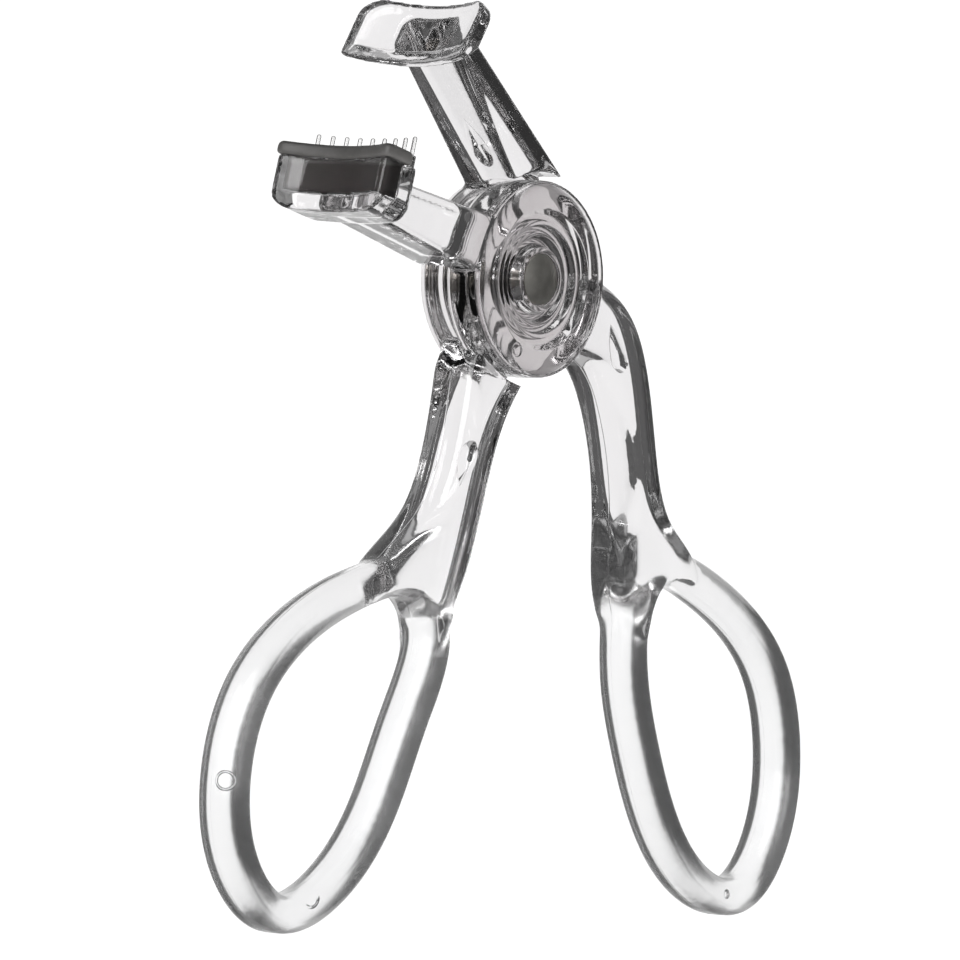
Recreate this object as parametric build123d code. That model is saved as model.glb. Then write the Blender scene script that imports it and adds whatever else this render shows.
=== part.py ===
"""Clear plastic scissor eyelash curler with a silicone pad and a built-in comb.

Frame: millimetres, +Z up. The pivot axis is the Y axis and the origin is the
middle of the hub. The jaws lean towards -X, the finger loops hang below, and
the side with the polished rivet dome faces -Y. The pose is the open one.
"""
from build123d import *
from math import cos, degrees, radians, sin
import os

# ---- hub -------------------------------------------------------------------
DISC_R = 11.0            # radius of both hub discs
DISC_FACE = 4.35         # outer face of a disc, from the mid-plane
DISC_SPLIT = 0.05        # each disc stops this far from the mid-plane
RIM_ROUND = 0.5          # rounding of its outer edge
STEP_R = 11.9            # the other half's arms begin outside this radius
ROOT_R = 10.4            # arms and necks end here inside their own disc
BEYOND = 9.0             # past every outer face, along Y

SHANK_R = 1.5            # rivet shank
BORE_R = 1.55            # bore in both discs
HEAD_R = 2.85            # rivet dome and rivet cap
HEAD_SEAT = 3.6          # plane under the heads, from the mid-plane
HEAD_EDGE = 0.5          # cylindrical edge of a head
HEAD_RISE = 0.6          # height of the dome above its edge
COLLAR_GAP = 0.12        # radial gap between a head and its collar

WASHER_R = 6.0           # friction washer between the discs
WASHER_T = 0.8
WASHER_RECESS = 0.41     # recess for it in each disc face
WASHER_CLEAR = 0.15      # radial room round the washer

# ---- handles ---------------------------------------------------------------
NECK_HALF = 3.5          # half thickness of the necks, along Y
LOOP_HALF = 2.9          # half thickness of the finger loops
LOOP_W = 4.3             # width of their bars in the plane of the loops
LOOP_ROUND = 2.0         # rounding of the bars
NECK_ROUND = 1.7
HOLE_POINTS = 16          # outline points of a finger hole
HOLE_SINK = 0.9           # how far the neck may fill the loop's bar, from its inner edge

# ---- arms and jaws ---------------------------------------------------------
ARM_HALF = 4.2           # half width of the arms, along Y
ARM_ROUND = 1.2

PLATE_TILT = 54.7        # direction of the plate's height, from +X
PLATE_FOOT = (-17.7, 24.15)   # middle of the press edge, eye side (X, Z)
PLATE_H = 7.9
PLATE_T = 2.0
PLATE_HALF = 8.9
PLATE_CORNER = 2.8       # rounding of its two top corners
PLATE_EDGE = 0.35        # rounding of its other edges
PLATE_RELIEF = (1.1, 2.2)    # chamfer behind the press edge: along y, up

PAD_TILT = -18.0         # slope of the pad's top, eye side to hub side
PAD_TOP = (-26.8, 14.85)    # middle of the pad's top face (X, Z)
JAW_CURVE_R = 20.0       # plan curvature of both jaws
PLAN_SHIFT = 4.0         # keeps the near half of the ring only

CAP_HALF = 8.35
CAP_W = 4.4
CAP_T = 1.5
CAP_ROUND = 0.45
CAP_EDGE = 0.9           # rounding of its upright edges
CORE_HALF = 7.1          # silicone body inside the holder
CORE_W = 2.3
CORE_DEPTH = 4.0
HOLDER_HALF = 8.05
HOLDER_FACE = 1.95       # eye-side face, from the jaw's middle line
HOLDER_BACK = 3.15       # hub-side face, which also takes the comb strip
HOLDER_DEPTH = 6.0
HOLDER_CORNER = 2.6      # rounding of its two lower corners
HOLDER_EDGE = 0.7        # rounding of its upright edges
POCKET_CLEAR = 0.05      # room round the silicone body
CORE_LAP = 0.2           # how far the body reaches up into the cap

# ---- comb ------------------------------------------------------------------
TEETH = 9
TOOTH_SPAN = 14.0        # first tooth to last, along the jaw
TOOTH_R = 0.25
TOOTH_H = 2.1            # above the pad's top
COMB_T = 0.7             # strip behind the pad
COMB_HALF = 7.4
COMB_DEPTH = 3.0
COMB_SINK = 1.6          # foot of the strip, below the underside of the cap
COMB_BEHIND = 0.05       # from the pad's hub side to the strip
COMB_GAP = 0.02          # room between the strip and the holder's slot
TOOTH_ROOT = 0.5         # a tooth starts this far below the pad's top

os.makedirs("parts", exist_ok=True)


def in_plane(points):
    """Turn (X, Z) pairs into points of the mid-plane."""
    return [Vector(x, 0, z) for x, z in points]


def slab(points, half):
    """A smooth closed outline of the mid-plane, extruded along Y."""
    outline = Wire([Spline(in_plane(points), periodic=True).edge()])
    face = Pos(0, -half, 0) * Face(outline)
    return extrude(face, amount=2 * half, dir=(0, 1, 0))


def rounded_slab(points, half, radius):
    """A slab with all its edges rounded."""
    body = slab(points, half)
    long_edges = body.edges().filter_by(lambda edge: abs(edge.center().Y) > half - 0.1)
    return fillet(long_edges, radius)


def turned(profile):
    """Revolve a closed list of (radius, Y) points about the pivot axis."""
    wire = Wire.make_polygon([Vector(r, y, 0) for r, y in profile], close=True)
    return revolve(Face(wire), Axis.Y)


def drum(radius, y_from, y_to):
    """A cylinder about the pivot axis between two Y stations."""
    return turned([(0, y_from), (radius, y_from), (radius, y_to), (0, y_to)])


# ---- handles ---------------------------------------------------------------
LEFT_LOOP = [
    (-15.8, -34.9), (-18.6, -32.4), (-24.8, -32.5), (-36.2, -36.2),
    (-44.1, -42.3), (-48.1, -51.9), (-46.8, -61.6), (-40.8, -67.3),
    (-32.2, -65.3), (-24.4, -57.9), (-18.6, -47.6),
]
RIGHT_LOOP = [
    (20.0, -37.9), (22.4, -34.3), (26.7, -33.8), (32.4, -35.9),
    (39.4, -40.2), (45.5, -47.0), (47.7, -56.5), (45.5, -66.3),
    (39.2, -72.1), (32.5, -70.5), (26.2, -64.3), (21.5, -53.4),
]
LEFT_NECK = [
    (-10.6, -10.7), (-12.1, -16.9), (-16.0, -24.7), (-22.3, -29.4),
    (-26.0, -33.8), (-22.5, -39.5), (-16.5, -41.0), (-13.2, -37.0),
    (-7.9, -23.9), (-1.8, -12.3), (1.2, -8.0), (-2.5, -3.8), (-7.8, -5.6),
]
RIGHT_NECK = [
    (7.2, 0.9), (12.8, -0.8), (17.9, -4.8), (20.7, -11.2), (22.3, -20.4),
    (25.0, -28.2), (29.3, -33.0), (29.0, -39.0), (23.5, -43.0),
    (18.8, -40.5), (17.0, -29.0), (15.2, -15.9), (11.2, -9.8), (5.8, -7.4),
    (3.6, -2.6),
]


def finger_hole(path, points):
    """Plug of the space inside a loop, reaching just into its bars."""
    centre = sum(in_plane(points), Vector(0, 0, 0)) * (1 / len(points))
    inner = []
    for index in range(HOLE_POINTS):
        station = index / HOLE_POINTS
        inward = (path % station).cross(Vector(0, 1, 0))
        if inward.dot(centre - path @ station) < 0:
            inward = -inward
        spot = (path @ station) + inward * (LOOP_W / 2 - HOLE_SINK)
        inner.append((spot.X, spot.Z))
    return slab(inner, NECK_HALF + 1)


def handle(loop, neck):
    """One finger loop with the thicker neck that carries it."""
    path = Spline(in_plane(loop), periodic=True)
    start = Plane(origin=path @ 0, x_dir=(0, 1, 0), z_dir=path % 0)
    section = start * RectangleRounded(2 * LOOP_HALF, LOOP_W, LOOP_ROUND)
    stem = rounded_slab(neck, NECK_HALF, NECK_ROUND) - finger_hole(path, loop)
    return sweep(section, path) + stem


# ---- hub -------------------------------------------------------------------
# Dish of the disc's face, from its lip to the rivet collar: (radius, -Y).
DISH = [
    (7.7, DISC_FACE), (7.3, 3.9), (6.2, 3.6), (5.9, 3.25), (5.1, 3.25),
    (4.8, 2.95), (3.75, 2.95), (3.55, 4.15), (0, 4.15),
]


def disc():
    """Hub disc on the -Y side: flat face, stepped dish and rivet collar."""
    rim = [(0, DISC_SPLIT), (DISC_R, DISC_SPLIT), (DISC_R, DISC_FACE)]
    solid = turned([(r, -depth) for r, depth in rim + DISH])
    solid = fillet(outer_face_edges(solid), RIM_ROUND)
    solid = solid - drum(HEAD_R + COLLAR_GAP, -BEYOND, -HEAD_SEAT)
    solid = solid - drum(BORE_R, -BEYOND, BEYOND)
    return solid - drum(WASHER_R + WASHER_CLEAR, -WASHER_RECESS, BEYOND)


def outer_face_edges(solid):
    """The circle where a disc's rim meets its outer face."""
    circles = solid.edges().filter_by(GeomType.CIRCLE)
    at_face = circles.filter_by(lambda edge: abs(edge.center().Y + DISC_FACE) < 0.01)
    return at_face.filter_by(lambda edge: edge.radius > DISC_R - 0.01)


def mirrored(solid):
    """The same shape on the +Y side."""
    return mirror(solid, Plane.XZ)


def half_cleared(solid, side):
    """Clear an arm's root: stepped round the other disc, open for its own."""
    other = sorted((-side * BEYOND, side * DISC_SPLIT))
    own = sorted((0, side * BEYOND))
    return solid - drum(STEP_R, *other) - drum(ROOT_R, *own)


# ---- arms ------------------------------------------------------------------
UPPER_ARM = [(0.6, 4.3), (-15.6, 26.1), (-13.2, 29.2), (8.1, 7.5)]
LOWER_ARM = [(-5.0, 6.6), (-27.1, 12.6), (-28.4, 7.9), (-11.3, 1.5), (-5.0, -0.6)]


def arm(points):
    """Straight arm from the hub to a jaw, with rounded long edges."""
    outline = Wire.make_polygon(in_plane(points), close=True)
    body = extrude(Pos(0, -ARM_HALF, 0) * Face(outline), amount=2 * ARM_HALF, dir=(0, 1, 0))
    long_edges = body.edges().filter_by(lambda edge: abs(edge.center().Y) > ARM_HALF - 0.1)
    return fillet(long_edges, ARM_ROUND)


# ---- jaw frames ------------------------------------------------------------
def jaw_plane(foot, angle):
    """Plane whose x runs along +Y, y towards the eye and z at the angle."""
    up = Vector(cos(radians(angle)), 0, sin(radians(angle)))
    return Plane(origin=(foot[0], 0, foot[1]), x_dir=(0, 1, 0), z_dir=up)


def curved_bar(half, near, far, height, corner=0.0):
    """Bar that follows the jaw's curve, with optional rounded upright edges.

    near and far are its two faces along y (towards the eye) at mid-length.
    """
    eye_side = Circle(JAW_CURVE_R - far)
    hub_side = Circle(JAW_CURVE_R - near)
    plan = Pos(0, JAW_CURVE_R) * (hub_side - eye_side)
    plan = plan & (Pos(0, PLAN_SHIFT) * Rectangle(2 * half, JAW_CURVE_R))
    if corner:
        plan = fillet(plan.vertices(), corner)
    return extrude(plan, amount=height)


def elevation_blank(half, height, corner, low):
    """Blank seen along y whose low or high corners are rounded."""
    sketch = Pos(0, height / 2) * Rectangle(2 * half, height)
    corners = sketch.vertices().sort_by(Axis.Y)
    chosen = corners[:2] if low else corners[2:]
    sketch = fillet(chosen, corner)
    return extrude(Plane.XZ * sketch, amount=JAW_CURVE_R, both=True)


# ---- jaws ------------------------------------------------------------------
def press_plate():
    """Curved upper jaw plate with a straight press edge."""
    bar = curved_bar(PLATE_HALF, -PLATE_T, 0, PLATE_H)
    bar = bar & elevation_blank(PLATE_HALF, PLATE_H, PLATE_CORNER, low=False)
    back_r = JAW_CURVE_R + PLATE_T
    relief_y, relief_z = PLATE_RELIEF
    wedge = [(back_r - relief_y, 0), (back_r + 1, 0), (back_r + 1, relief_z), (back_r, relief_z)]
    wedge_face = Face(Wire.make_polygon([Vector(r, 0, z) for r, z in wedge], close=True))
    bar = bar - Pos(0, JAW_CURVE_R) * revolve(wedge_face, Axis.Z)
    bar = fillet(bar.edges(), PLATE_EDGE)
    return jaw_plane(PLATE_FOOT, PLATE_TILT) * bar


def pad_plane():
    """Plane of the pad's top face, z pointing up out of the pad."""
    return jaw_plane(PAD_TOP, PAD_TILT + 90)


def pad_holder():
    """Clear trough that grips the silicone body and the comb strip."""
    bar = curved_bar(HOLDER_HALF, -HOLDER_BACK, HOLDER_FACE, HOLDER_DEPTH, HOLDER_EDGE)
    bar = bar & elevation_blank(HOLDER_HALF, HOLDER_DEPTH, HOLDER_CORNER, low=True)
    return pad_plane() * (Pos(0, 0, -CAP_T - HOLDER_DEPTH) * bar)


def pad_core(room=0.0):
    """Silicone body below the cap; room widens it into its pocket."""
    half_w = CORE_W / 2 + room
    depth = CORE_DEPTH + room
    core = curved_bar(CORE_HALF + room, -half_w, half_w, depth + CORE_LAP)
    return pad_plane() * (Pos(0, 0, -CAP_T - depth) * core)


def silicone_pad():
    """Replaceable pad: a soft cap that overhangs the holder, and its body."""
    cap = curved_bar(CAP_HALF, -CAP_W / 2, CAP_W / 2, CAP_T, CAP_EDGE)
    cap = fillet(cap.faces().sort_by(Axis.Z)[-1].edges(), CAP_ROUND)
    cap = pad_plane() * (Pos(0, 0, -CAP_T) * cap)
    return cap + pad_core()


def comb_strip(room=0.0):
    """Strip behind the pad that carries the teeth."""
    near = -CAP_W / 2 - COMB_BEHIND - COMB_T - room
    far = -CAP_W / 2 - COMB_BEHIND + room
    strip = curved_bar(COMB_HALF + room, near, far, COMB_DEPTH)
    return Pos(0, 0, -CAP_T - COMB_SINK) * strip


def lash_comb():
    """Row of round teeth on the comb strip."""
    comb = comb_strip()
    radius = JAW_CURVE_R + CAP_W / 2 + COMB_BEHIND + COMB_T / 2
    half_turn = degrees(TOOTH_SPAN / 2 / radius)
    upward = (Align.CENTER, Align.CENTER, Align.MIN)
    tooth = Cylinder(TOOTH_R, TOOTH_H + TOOTH_ROOT, align=upward)
    tooth = fillet(tooth.edges().sort_by(Axis.Z)[-1], TOOTH_R * 0.9)
    for index in range(TEETH):
        turn = half_turn * (2 * index / (TEETH - 1) - 1)
        foot = Pos(0, JAW_CURVE_R) * Rot(0, 0, turn) * Pos(0, -radius, -TOOTH_ROOT)
        comb = comb + foot * tooth
    return pad_plane() * comb


# ---- rivet and washers -----------------------------------------------------
def head(side):
    """Domed rivet head or cap in its collar (side -1 at the front, 1 behind)."""
    crown = HEAD_SEAT + HEAD_EDGE + HEAD_RISE
    dome_r = (HEAD_R ** 2 + HEAD_RISE ** 2) / (2 * HEAD_RISE)
    solid = drum(HEAD_R, HEAD_SEAT, crown) & (Pos(0, crown - dome_r, 0) * Sphere(dome_r))
    return solid if side > 0 else mirrored(solid)


# ---- the nodes -------------------------------------------------------------
front_disc = disc()

pad_arm = half_cleared(handle(RIGHT_LOOP, RIGHT_NECK) + arm(LOWER_ARM), -1) + front_disc
pad_arm = pad_arm + pad_holder()
pad_arm = pad_arm - pad_core(POCKET_CLEAR) - pad_plane() * comb_strip(COMB_GAP)

press_arm = half_cleared(handle(LEFT_LOOP, LEFT_NECK) + arm(UPPER_ARM), 1)
press_arm = press_arm + mirrored(front_disc) + press_plate()

nodes = {
    "pad_arm": pad_arm,
    "press_arm": press_arm,
    "silicone_pad": silicone_pad(),
    "lash_comb": lash_comb(),
    "rivet_stud": head(-1) + drum(SHANK_R, -HEAD_SEAT, HEAD_SEAT),
    "rivet_cap": head(1),
    "friction_washer": drum(WASHER_R, -WASHER_T / 2, WASHER_T / 2) - drum(BORE_R, -1, 1),
}
for name, shape in nodes.items():
    print(name, round(shape.volume, 1), shape.is_valid, len(shape.solids()))
    export_step(shape, f"parts/{name}.step")
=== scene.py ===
"""Looks of a clear plastic scissor eyelash curler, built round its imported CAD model.

Metres, in the CAD frame: +Z up, the pivot along Y, jaws towards -X.
"""
from math import cos, pi, radians, sin, tan

import bmesh
import bpy
from mathutils import Matrix, Vector


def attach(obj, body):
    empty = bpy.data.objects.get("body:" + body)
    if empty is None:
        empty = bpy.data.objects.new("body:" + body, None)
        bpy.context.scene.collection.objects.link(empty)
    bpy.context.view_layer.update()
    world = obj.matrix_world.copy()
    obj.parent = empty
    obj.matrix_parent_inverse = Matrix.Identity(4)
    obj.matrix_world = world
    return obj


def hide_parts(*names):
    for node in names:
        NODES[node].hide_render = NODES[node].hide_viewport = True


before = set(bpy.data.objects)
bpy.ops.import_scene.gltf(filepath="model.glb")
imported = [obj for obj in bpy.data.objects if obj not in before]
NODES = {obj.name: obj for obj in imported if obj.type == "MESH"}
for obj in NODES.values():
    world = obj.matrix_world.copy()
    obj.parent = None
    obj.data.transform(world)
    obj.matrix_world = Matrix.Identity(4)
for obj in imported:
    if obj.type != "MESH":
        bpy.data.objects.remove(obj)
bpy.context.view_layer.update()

MM = 0.001

# ---- moulded halves --------------------------------------------------------
VOXEL = 0.25 * MM            # remesh step of the moulded halves
MELT_PASSES = 60             # smoothing passes where two bars run together
POLISH_PASSES = 7            # smoothing passes everywhere
MELT_REACH = 9.0 * MM        # how far the melted zone reaches from its centre
WELD_REACH = 0.001 * MM      # points closer than this become one

# Where the necks meet the loops: (X, Z, share), mm.
PRESS_JOINTS = [(-22.5, -33.0, 1.0), (-14.5, -37.5, 1.0)]
PAD_JOINTS = [(26.0, -32.0, 1.0), (20.0, -40.0, 1.0)]

# ---- pad -------------------------------------------------------------------
PAD_VOXEL = 0.13 * MM
PAD_POLISH = 5

# ---- hub -------------------------------------------------------------------
SPIN_STEPS = 192
HUB_CUT_R = 10.7             # the melted half gives way to its lathed disc here, mm
# Section of a disc as (radius, distance from the mid-plane), mm.
DISC_SECTION = [
    (1.55, 0.41), (6.15, 0.41), (6.15, 0.05), (11.0, 0.05), (11.0, 2.7), (10.83, 3.35),
    (10.4, 3.9), (9.8, 4.22), (9.1, 4.35), (7.9, 4.35), (7.2, 3.8), (6.7, 3.75),
    (6.4, 3.9), (6.1, 3.8), (5.8, 3.35), (5.4, 3.25), (5.1, 3.4), (4.8, 3.25),
    (4.5, 2.95), (3.95, 2.95), (3.6, 4.15), (2.97, 4.15), (2.97, 3.6), (1.55, 3.6),
]
DISC_SOFT_EDGE = 0.2         # rounding of the disc's edges, mm

# ---- marks left by the mould -----------------------------------------------
# Lens-shaped pockets: centre, the way the surface faces, half length, half width,
# depth, lean, then how pointed the upper and lower ends are. Millimetres and degrees.
FRONT = (0, -1, 0)
PRESS_DIPS = [((-7.6, -1.1, 15.2), (-0.8, 0, -0.6), 3.4, 1.3, 0.9, 4, 1, 0),
              ((-11.9, -3.35, -20.0), (-0.25, -0.95, 0.12), 2.7, 1.25, 0.9, -24, 0, 1)]
PAD_DIPS = [((14.1, -3.5, -8.2), FRONT, 2.95, 1.35, 0.9, 22, 1, 0),
            ((24.5, -2.9, -66.2), FRONT, 1.7, 0.5, 0.35, 35, 1, 1),
            ((34.9, -2.9, -71.5), FRONT, 0.6, 0.5, 0.35, 0, 0, 0)]
POCKET_FLOOR = 0.62          # a pocket's floor outline against its mouth
# Ejector rings: centre X, Y, Z, radius, and the way the surface faces.
PRESS_RINGS = [(-49.6, -1.35, -52.2, 0.95, (-0.78, -0.6, 0.05)), (-37.2, -2.8, -65.6, 1.25, (0.1, -1, -0.1))]
PAD_RINGS = [(-4.4, -4.35, -7.6, 0.7, (0, -1, 0))]
RING_WIRE = 0.17             # half width of a ring's groove, mm

# ---- camera ----------------------------------------------------------------
CAMERA_AZIMUTH = 50.0
CAMERA_ELEVATION = 3.7
CAMERA_DISTANCE = 1.0
CAMERA_LENS = 337.5
AIM_RIGHT = -3.61 * MM       # view centre from the pivot, in the view's plane
AIM_UP = -22.39 * MM

# ---- finish and painted shade ----------------------------------------------
LOOP_SATIN = 0.16            # extra roughness of the finger loops
SATIN_ZONE = (-42.0 * MM, -26.0 * MM)    # heights between which it fades out
LINE_ZONE = (-11.0 * MM, -9.0 * MM)      # and the parting line
HUB_PAINTED_SHADE = (0.92, 0.908, 0.906)          # painted shade: a slight grey laid on the hub
# distances from the pivot over which the hub's painted shade fades out
HUB_SHADE_ZONE = (9.0 * MM, 12.5 * MM)
NECK_PAINTED_SHADE = (0.90, 0.888, 0.892)         # painted shade: a slight grey laid on the necks and arms
# heights over which the painted shade of the necks fades in
NECK_SHADE_ZONE = (-40.0 * MM, -24.0 * MM)
SEAT_PAINTED_SHADE = (0.42, 0.38, 0.37)           # painted shade darkening the foot of the pad, down in its holder
# heights over which the pad's painted shade fades out
SEAT_SHADE_ZONE = (13.2 * MM, 13.5 * MM)

FLOOR_SIZE = 60.0
FLOOR_DROP = 90.0 * MM       # below the pivot, clear of the swinging loops


# ---- materials -------------------------------------------------------------
def new_material(name):
    """A node material with its Principled shader, and a maker of more nodes."""
    material = bpy.data.materials.new(name)
    material.use_nodes = True
    tree = material.node_tree
    shader = tree.nodes["Principled BSDF"]
    return material, tree, shader


def noise(tree, scale, detail=2.0, roughness=0.5, stretch=(1, 1, 1)):
    """Noise in object space, with an optional stretch."""
    coords = tree.nodes.new("ShaderNodeTexCoord")
    mapping = tree.nodes.new("ShaderNodeMapping")
    mapping.inputs["Scale"].default_value = stretch
    tree.links.new(coords.outputs["Object"], mapping.inputs["Vector"])
    node = tree.nodes.new("ShaderNodeTexNoise")
    node.inputs["Scale"].default_value = scale
    node.inputs["Detail"].default_value = detail
    node.inputs["Roughness"].default_value = roughness
    tree.links.new(mapping.outputs["Vector"], node.inputs["Vector"])
    return node


def spread(tree, socket, low, high, start=0.3, end=0.7):
    """Map a 0 to 1 value onto a range."""
    node = tree.nodes.new("ShaderNodeMapRange")
    node.inputs["From Min"].default_value = start
    node.inputs["From Max"].default_value = end
    node.inputs["To Min"].default_value = low
    node.inputs["To Max"].default_value = high
    tree.links.new(socket, node.inputs["Value"])
    return node.outputs["Result"]


def place(tree, axis):
    """One coordinate of the frame, in metres."""
    coords = tree.nodes.new("ShaderNodeTexCoord")
    parts = tree.nodes.new("ShaderNodeSeparateXYZ")
    tree.links.new(coords.outputs["Object"], parts.inputs["Vector"])
    return parts.outputs[axis]


def distance_from_plane(tree):
    """How far a point is from the mid-plane, where the two mould halves met."""
    node = tree.nodes.new("ShaderNodeMath")
    node.operation = "ABSOLUTE"
    tree.links.new(place(tree, "Y"), node.inputs[0])
    return node.outputs["Value"]


def distance_from_pivot(tree):
    """How far a point is from the pivot axis."""
    coords = tree.nodes.new("ShaderNodeTexCoord")
    flat = tree.nodes.new("ShaderNodeVectorMath")
    flat.operation = "MULTIPLY"
    flat.inputs[1].default_value = (1, 0, 1)
    tree.links.new(coords.outputs["Object"], flat.inputs[0])
    node = tree.nodes.new("ShaderNodeVectorMath")
    node.operation = "LENGTH"
    tree.links.new(flat.outputs["Vector"], node.inputs[0])
    return node.outputs["Value"]


def with_painted_shade(tree, share, colour, tint):
    """Multiply a colour by a tint where share is 1; here the tint is always painted shade."""
    node = tree.nodes.new("ShaderNodeMix")
    node.data_type = "RGBA"
    node.blend_type = "MULTIPLY"
    tree.links.new(share, node.inputs["Factor"])
    tree.links.new(colour, node.inputs[6])
    node.inputs[7].default_value = (*tint, 1)
    return node.outputs[2]


def combined(tree, operation, first, second):
    """Sum, product or other combination of two values."""
    node = tree.nodes.new("ShaderNodeMath")
    node.operation = operation
    tree.links.new(first, node.inputs[0])
    tree.links.new(second, node.inputs[1])
    return node.outputs["Value"]


def two_tone(tree, socket, dark, light):
    """Mix two colours by a value."""
    node = tree.nodes.new("ShaderNodeMix")
    node.data_type = "RGBA"
    node.inputs[6].default_value = (*dark, 1)
    node.inputs[7].default_value = (*light, 1)
    tree.links.new(socket, node.inputs["Factor"])
    return node.outputs[2]


def bumped(tree, shader, socket, height, strength=1.0, below=None):
    """Bump the shader by a value, in metres, on top of an earlier bump."""
    node = tree.nodes.new("ShaderNodeBump")
    node.inputs["Distance"].default_value = height
    node.inputs["Strength"].default_value = strength
    tree.links.new(socket, node.inputs["Height"])
    if below is not None:
        tree.links.new(below, node.inputs["Normal"])
    tree.links.new(node.outputs["Normal"], shader.inputs["Normal"])
    return node.outputs["Normal"]


def clear_plastic():
    """Polished clear plastic with faint sink waves and handling haze, greyed by painted shade on the hub,
    the necks and the arms.
    """
    material, tree, shader = new_material("clear_plastic")
    shader.inputs["Transmission Weight"].default_value = 1.0
    shader.inputs["IOR"].default_value = 1.54
    tint = noise(tree, 160, 3)
    share = spread(tree, tint.outputs["Fac"], 0, 1)
    colour = two_tone(tree, share, (0.955, 0.955, 0.96), (0.99, 0.99, 0.992))
    # painted shade: the clear plastic greyed near the pivot, over the hub
    hub = spread(tree, distance_from_pivot(tree), 1.0, 0.0, *HUB_SHADE_ZONE)
    colour = with_painted_shade(tree, hub, colour, HUB_PAINTED_SHADE)
    # painted shade: the necks, the arms and everything above them greyed, fading out towards the loops
    neck_shade = spread(tree, place(tree, "Z"), 0.0, 1.0, *NECK_SHADE_ZONE)
    tree.links.new(with_painted_shade(tree, neck_shade, colour, NECK_PAINTED_SHADE), shader.inputs["Base Color"])
    haze = noise(tree, 420, 4, 0.6)
    polish = spread(tree, haze.outputs["Fac"], 0.03, 0.075)
    satin = spread(tree, place(tree, "Z"), LOOP_SATIN, 0.0, *SATIN_ZONE)
    tree.links.new(combined(tree, "ADD", polish, satin), shader.inputs["Roughness"])
    waves = noise(tree, 110, 1.0)
    below = bumped(tree, shader, waves.outputs["Fac"], 0.07 * MM)
    line = spread(tree, distance_from_plane(tree), 1.0, 0.0, 0.03 * MM, 0.11 * MM)
    handles = spread(tree, place(tree, "Z"), 1.0, 0.0, *LINE_ZONE)
    line = combined(tree, "MULTIPLY", line, handles)
    below = bumped(tree, shader, line, 0.05 * MM, below=below)
    scuffs = noise(tree, 1500, 5, 0.7, (1, 1, 0.35))
    bumped(tree, shader, scuffs.outputs["Fac"], 0.0015 * MM, below=below)
    return material


def silicone():
    """Soft dark grey silicone with a fine matt grain, and painted shade on its foot."""
    material, tree, shader = new_material("pad_silicone")
    tone = noise(tree, 500, 4, 0.6)
    share = spread(tree, tone.outputs["Fac"], 0, 1)
    colour = two_tone(tree, share, (0.15, 0.145, 0.14), (0.20, 0.194, 0.188))
    # painted shade: the pad darkened below 13.2 mm, down in its holder
    seat_shade = spread(tree, place(tree, "Z"), 1.0, 0.0, *SEAT_SHADE_ZONE)
    tree.links.new(with_painted_shade(tree, seat_shade, colour, SEAT_PAINTED_SHADE), shader.inputs["Base Color"])
    tree.links.new(spread(tree, tone.outputs["Fac"], 0.42, 0.6), shader.inputs["Roughness"])
    grain = noise(tree, 5200, 3, 0.6)
    bumped(tree, shader, grain.outputs["Fac"], 0.02 * MM)
    return material


def rivet_steel():
    """Satin nickel with fine turned marks."""
    material, tree, shader = new_material("rivet_steel")
    shader.inputs["Metallic"].default_value = 1.0
    tone = noise(tree, 700, 4, 0.6)
    colour = two_tone(tree, spread(tree, tone.outputs["Fac"], 0, 1), (0.72, 0.70, 0.65), (0.84, 0.82, 0.77))
    tree.links.new(colour, shader.inputs["Base Color"])
    tree.links.new(spread(tree, tone.outputs["Fac"], 0.38, 0.5), shader.inputs["Roughness"])
    marks = noise(tree, 2600, 3, 0.6)
    bumped(tree, shader, marks.outputs["Fac"], 0.006 * MM)
    return material


def comb_plastic():
    """The comb's clear plastic, greyer and less polished."""
    material, tree, shader = new_material("comb_plastic")
    shader.inputs["Transmission Weight"].default_value = 1.0
    shader.inputs["IOR"].default_value = 1.54
    tone = noise(tree, 900, 3)
    share = spread(tree, tone.outputs["Fac"], 0, 1)
    colour = two_tone(tree, share, (0.80, 0.795, 0.79), (0.88, 0.877, 0.874))
    tree.links.new(colour, shader.inputs["Base Color"])
    tree.links.new(spread(tree, tone.outputs["Fac"], 0.04, 0.1), shader.inputs["Roughness"])
    return material


def washer_nylon():
    """Translucent nylon."""
    material, tree, shader = new_material("washer_nylon")
    shader.inputs["Transmission Weight"].default_value = 1.0
    shader.inputs["IOR"].default_value = 1.5
    tone = noise(tree, 900, 3)
    colour = two_tone(tree, spread(tree, tone.outputs["Fac"], 0, 1), (0.95, 0.95, 0.95), (0.99, 0.99, 0.99))
    tree.links.new(colour, shader.inputs["Base Color"])
    tree.links.new(spread(tree, tone.outputs["Fac"], 0.06, 0.14), shader.inputs["Roughness"])
    return material


def pale_floor():
    """Plain off-white studio paper."""
    material, tree, shader = new_material("floor_paper")
    shader.inputs["Base Color"].default_value = (0.93, 0.93, 0.93, 1)
    shader.inputs["Roughness"].default_value = 0.85
    shader.inputs["Emission Color"].default_value = (1, 1, 1, 1)
    shader.inputs["Emission Strength"].default_value = 1.0
    return material


def paint(piece, material):
    """Give a piece one material."""
    piece.data.materials.clear()
    piece.data.materials.append(material)


# ---- moulded halves --------------------------------------------------------
def finished_mesh(piece):
    """Replace a piece's mesh by what its modifiers make of it."""
    graph = bpy.context.evaluated_depsgraph_get()
    mesh = bpy.data.meshes.new_from_object(piece.evaluated_get(graph))
    piece.modifiers.clear()
    piece.data = mesh


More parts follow.
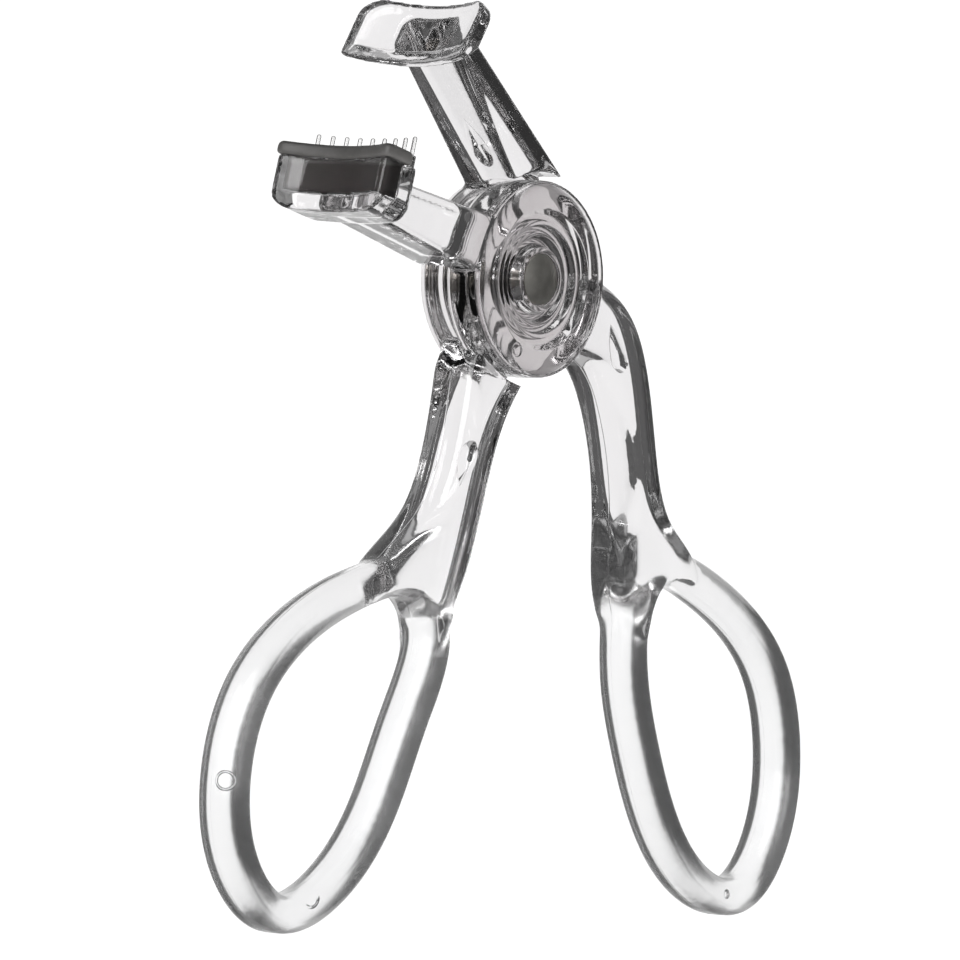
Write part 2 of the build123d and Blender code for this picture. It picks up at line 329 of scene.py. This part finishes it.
def melted(name, node, joints, voxel=VOXEL, polish_passes=POLISH_PASSES):
    """A copy of a CAD node with softened edges and its crossings run together."""
    piece = bpy.data.objects.new(name, NODES[node].data.copy())
    bpy.context.scene.collection.objects.link(piece)
    remesh = piece.modifiers.new("voxels", "REMESH")
    remesh.mode = "VOXEL"
    remesh.voxel_size = voxel
    remesh.use_smooth_shade = True
    finished_mesh(piece)
    near = piece.vertex_groups.new(name="near_joint")
    for vertex in piece.data.vertices:
        weight = 0.0
        for x, z, share in joints:
            away = Vector((vertex.co.x - x * MM, 0, vertex.co.z - z * MM)).length / MELT_REACH
            if away < 1:
                weight = max(weight, share * (1 - away * away) ** 2)
        if weight > 0:
            near.add([vertex.index], weight, "REPLACE")
    melt = piece.modifiers.new("melt", "SMOOTH")
    melt.factor = 0.5
    melt.iterations = MELT_PASSES
    melt.vertex_group = "near_joint"
    polish = piece.modifiers.new("polish", "SMOOTH")
    polish.factor = 0.5
    polish.iterations = polish_passes
    finished_mesh(piece)
    return piece


# ---- hub discs and mould marks ---------------------------------------------
def lathed(name, section, side):
    """A closed ring turned about the pivot axis, on one side of the mid-plane."""
    mesh = bmesh.new()
    rounds = []
    for step in range(SPIN_STEPS):
        angle = 2 * pi * step / SPIN_STEPS
        points = [(r * MM * cos(angle), side * y * MM, r * MM * sin(angle)) for r, y in section]
        rounds.append([mesh.verts.new(point) for point in points])
    for step, here in enumerate(rounds):
        beside = rounds[(step + 1) % SPIN_STEPS]
        for index in range(len(section)):
            after = (index + 1) % len(section)
            mesh.faces.new((here[index], here[after], beside[after], beside[index]))
    bmesh.ops.recalc_face_normals(mesh, faces=mesh.faces)
    return from_bmesh(name, mesh)


def from_bmesh(name, mesh):
    """Make an object of a bmesh and let the bmesh go."""
    data = bpy.data.meshes.new(name)
    mesh.to_mesh(data)
    mesh.free()
    piece = bpy.data.objects.new(name, data)
    bpy.context.scene.collection.objects.link(piece)
    return piece


def soften(piece, width, steps=3):
    """Round the piece's sharp edges."""
    bevel = piece.modifiers.new("soft_edges", "BEVEL")
    bevel.width = width * MM
    bevel.segments = steps
    bevel.limit_method = "ANGLE"
    bevel.angle_limit = radians(28)
    finished_mesh(piece)


def combine(piece, tool, operation):
    """Join a tool piece to, or cut it from, a piece."""
    boolean = piece.modifiers.new(operation.lower(), "BOOLEAN")
    boolean.operation = operation
    boolean.solver = "MANIFOLD"
    boolean.object = tool
    finished_mesh(piece)
    bpy.data.objects.remove(tool)


def with_disc(piece, side):
    """Swap the melted hub of a half for a crisp lathed disc."""
    zone = [(0.6, 0.0), (HUB_CUT_R, 0.0), (HUB_CUT_R, 6.0), (0.6, 6.0)]
    combine(piece, lathed("hub_zone", zone, side), "DIFFERENCE")
    disc = lathed("hub_disc", DISC_SECTION, side)
    soften(disc, DISC_SOFT_EDGE)
    combine(piece, disc, "UNION")


def lens_outline(long, wide, upper, lower):
    """Points round a lens, pointed or rounded at each end."""
    around = 56
    angles = [2 * pi * (i + 0.5) / around for i in range(around)]
    across = [sin(a) * sin(a / 2) ** upper * abs(cos(a / 2)) ** lower for a in angles]
    widest = max(across)
    return [(wide * share / widest, long * cos(a)) for a, share in zip(angles, across)]


def dip(row):
    """Cutter of a lens-shaped pocket with sloping walls."""
    centre, facing, long, wide, deep, lean, upper, lower = row
    mesh = bmesh.new()
    levels = []
    for depth, share in ((-2 * deep, 1.9), (0, 1.0), (0.7 * deep, 0.86), (deep, POCKET_FLOOR)):
        outline = lens_outline(long * share, wide * share, upper, lower)
        levels.append([mesh.verts.new((across * MM, depth * MM, along * MM)) for across, along in outline])
    for here, above in zip(levels, levels[1:]):
        for i in range(len(here)):
            after = (i + 1) % len(here)
            mesh.faces.new((here[i], here[after], above[after], above[i]))
    mesh.faces.new(levels[0])
    mesh.faces.new(levels[-1])
    bmesh.ops.recalc_face_normals(mesh, faces=mesh.faces)
    inward = -Vector(facing).normalized()
    along = Vector((0, 0, 1)) - inward * inward.z
    along = Matrix.Rotation(radians(lean), 3, -inward) @ along.normalized()
    turn = Matrix((inward.cross(along), inward, along)).transposed()
    mesh.transform(Matrix.Translation(Vector(centre) * MM) @ turn.to_4x4())
    return from_bmesh("dip", mesh)


def ring(row):
    """Cutter of a round ejector groove."""
    x, y, z, radius, facing = row
    mesh = bmesh.new()
    around = 48
    across = 12
    loops = []
    for i in range(around):
        a = 2 * pi * i / around
        bead = []
        for j in range(across):
            b = 2 * pi * j / across
            reach = radius + RING_WIRE * cos(b)
            bead.append(mesh.verts.new((reach * cos(a) * MM, reach * sin(a) * MM, RING_WIRE * sin(b) * MM)))
        loops.append(bead)
    for i, here in enumerate(loops):
        beside = loops[(i + 1) % around]
        for j in range(across):
            after = (j + 1) % across
            mesh.faces.new((here[j], beside[j], beside[after], here[after]))
    bmesh.ops.recalc_face_normals(mesh, faces=mesh.faces)
    turn = Vector(facing).to_track_quat("Z", "Y").to_matrix().to_4x4()
    mesh.transform(Matrix.Translation(Vector((x, y, z)) * MM) @ turn)
    return from_bmesh("ring", mesh)


def weld(piece):
    """Close up the slivers that cutting leaves, so that the mesh stays one closed skin."""
    mesh = bmesh.new()
    mesh.from_mesh(piece.data)
    bmesh.ops.dissolve_degenerate(mesh, edges=mesh.edges, dist=WELD_REACH)
    bmesh.ops.remove_doubles(mesh, verts=mesh.verts, dist=WELD_REACH)
    bmesh.ops.triangulate(mesh, faces=mesh.faces)
    twins = {}
    for face in mesh.faces:
        twins.setdefault(frozenset(face.verts), []).append(face)
    doubled = [face for faces in twins.values() if len(faces) > 1 for face in faces]
    bmesh.ops.delete(mesh, geom=doubled, context="FACES_ONLY")
    mesh.to_mesh(piece.data)
    mesh.free()


def moulded_half(name, node, joints, side, dips, rings):
    """One half as it leaves the mould, with its disc and its marks."""
    piece = melted(name, node, joints)
    with_disc(piece, side)
    for row in dips:
        combine(piece, dip(row), "DIFFERENCE")
    for row in rings:
        combine(piece, ring(row), "DIFFERENCE")
    weld(piece)
    piece.data.polygons.foreach_set("use_smooth", [True] * len(piece.data.polygons))
    piece.data.set_sharp_from_angle(angle=radians(38))
    return piece


plastic = clear_plastic()

press_half = moulded_half("press_half_shell", "press_arm", PRESS_JOINTS, 1, PRESS_DIPS, PRESS_RINGS)
paint(press_half, plastic)
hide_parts("press_arm")
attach(press_half, "press_half")

pad_half = moulded_half("pad_half_shell", "pad_arm", PAD_JOINTS, -1, PAD_DIPS, PAD_RINGS)
paint(pad_half, plastic)
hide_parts("pad_arm")
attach(pad_half, "pad_half")

paint(NODES["lash_comb"], comb_plastic())

rubber_pad = melted("silicone_pad_refill", "silicone_pad", [], PAD_VOXEL, PAD_POLISH)
rubber_pad.data.polygons.foreach_set("use_smooth", [True] * len(rubber_pad.data.polygons))
paint(rubber_pad, silicone())
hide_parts("silicone_pad")
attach(rubber_pad, "pad_half")

steel = rivet_steel()
paint(NODES["rivet_stud"], steel)
paint(NODES["rivet_cap"], steel)
paint(NODES["friction_washer"], washer_nylon())


# ---- studio ----------------------------------------------------------------
# Panels seen only in reflections and through the plastic: name, angle round
# from straight behind the object (positive to the view's right), height
# angle, width, height and brightness. All angles in degrees.
PANELS = [
    ("backdrop", 0, 0, 58, 56, 1.06),
    ("sky", 0, 42, 110, 26, 0.5),
    ("table", 15, -42, 80, 26, 0.5),
    ("flag_right", 80, 0, 54, 120, 0.06),
    ("flag_left", -100, 0, 56, 120, 0.07),
    ("flag_low_left", -58, -45, 44, 44, 0.03),
    ("flag_low", 0, -66, 120, 20, 0.05),
    ("fill_right", 138, 22, 44, 60, 0.3),
    ("softbox_left", -150, 28, 40, 60, 4.0),
]
PANEL_DISTANCE = 2.0
SURROUND = 0.12


def glow(name, brightness):
    """Plain emission of one brightness."""
    material = bpy.data.materials.new(name)
    material.use_nodes = True
    tree = material.node_tree
    tree.nodes.clear()
    emission = tree.nodes.new("ShaderNodeEmission")
    emission.inputs["Strength"].default_value = brightness
    output = tree.nodes.new("ShaderNodeOutputMaterial")
    tree.links.new(emission.outputs["Emission"], output.inputs["Surface"])
    return material


def panel(name, turn, lift, width, height, brightness):
    """One studio panel that faces the object."""
    right, up, back = view_axes()
    turn = radians(turn)
    lift = radians(lift)
    out = (-back * cos(turn) + right * sin(turn)) * cos(lift) + up * sin(lift)
    side = out.cross(up).normalized()
    rise = side.cross(out)
    half_w = side * (PANEL_DISTANCE * tan(radians(width / 2)))
    half_h = rise * (PANEL_DISTANCE * tan(radians(height / 2)))
    centre = out * PANEL_DISTANCE
    low = centre - half_h
    high = centre + half_h
    corners = [low - half_w, low + half_w, high + half_w, high - half_w]
    mesh = bpy.data.meshes.new(name)
    mesh.from_pydata(corners, [], [(0, 1, 2, 3)])
    plane = bpy.data.objects.new(name, mesh)
    bpy.context.scene.collection.objects.link(plane)
    paint(plane, glow(name, brightness))
    plane.visible_camera = False
    plane.visible_diffuse = False
    plane.visible_shadow = False


def studio_world():
    """White behind the view and an even grey everywhere else."""
    world = bpy.data.worlds.new("studio")
    bpy.context.scene.world = world
    world.use_nodes = True
    tree = world.node_tree
    surround = tree.nodes["Background"]
    surround.inputs["Color"].default_value = (1, 1, 1, 1)
    path = tree.nodes.new("ShaderNodeLightPath")
    level = tree.nodes.new("ShaderNodeMapRange")
    level.inputs["To Min"].default_value = SURROUND
    level.inputs["To Max"].default_value = 1.0
    tree.links.new(path.outputs["Is Camera Ray"], level.inputs["Value"])
    tree.links.new(level.outputs["Result"], surround.inputs["Strength"])


def floor():
    """Large plain floor, left out of reflections so that the panels shape them."""
    mesh = bpy.data.meshes.new("floor")
    size = FLOOR_SIZE
    drop = -FLOOR_DROP
    corners = [(-size, -size, drop), (size, -size, drop), (size, size, drop), (-size, size, drop)]
    mesh.from_pydata(corners, [], [(0, 1, 2, 3)])
    plane = bpy.data.objects.new("floor", mesh)
    bpy.context.scene.collection.objects.link(plane)
    paint(plane, pale_floor())
    plane.visible_transmission = False
    plane.visible_glossy = False


def view_axes():
    """Right, up and towards-the-camera directions of the main view."""
    azimuth = radians(CAMERA_AZIMUTH)
    elevation = radians(CAMERA_ELEVATION)
    right = Vector((cos(azimuth), -sin(azimuth), 0))
    back = Vector((-sin(azimuth) * cos(elevation), -cos(azimuth) * cos(elevation), sin(elevation)))
    return right, back.cross(right), back


def camera():
    """A long lens, close to level."""
    right, up, back = view_axes()
    aim = right * AIM_RIGHT + up * AIM_UP
    data = bpy.data.cameras.new("camera")
    data.lens = CAMERA_LENS
    data.sensor_width = 36.0
    data.clip_start = 0.05
    data.clip_end = 200.0
    eye = bpy.data.objects.new("camera", data)
    bpy.context.scene.collection.objects.link(eye)
    axes = Matrix((right, up, back)).transposed()
    eye.matrix_world = Matrix.Translation(aim + back * CAMERA_DISTANCE) @ axes.to_4x4()
    bpy.context.scene.camera = eye


studio_world()
floor()
for row in PANELS:
    panel(*row)
camera()
bpy.context.scene.view_settings.view_transform = "Standard"

cycles = bpy.context.scene.cycles
cycles.max_bounces = 24
cycles.transmission_bounces = 24
cycles.glossy_bounces = 8
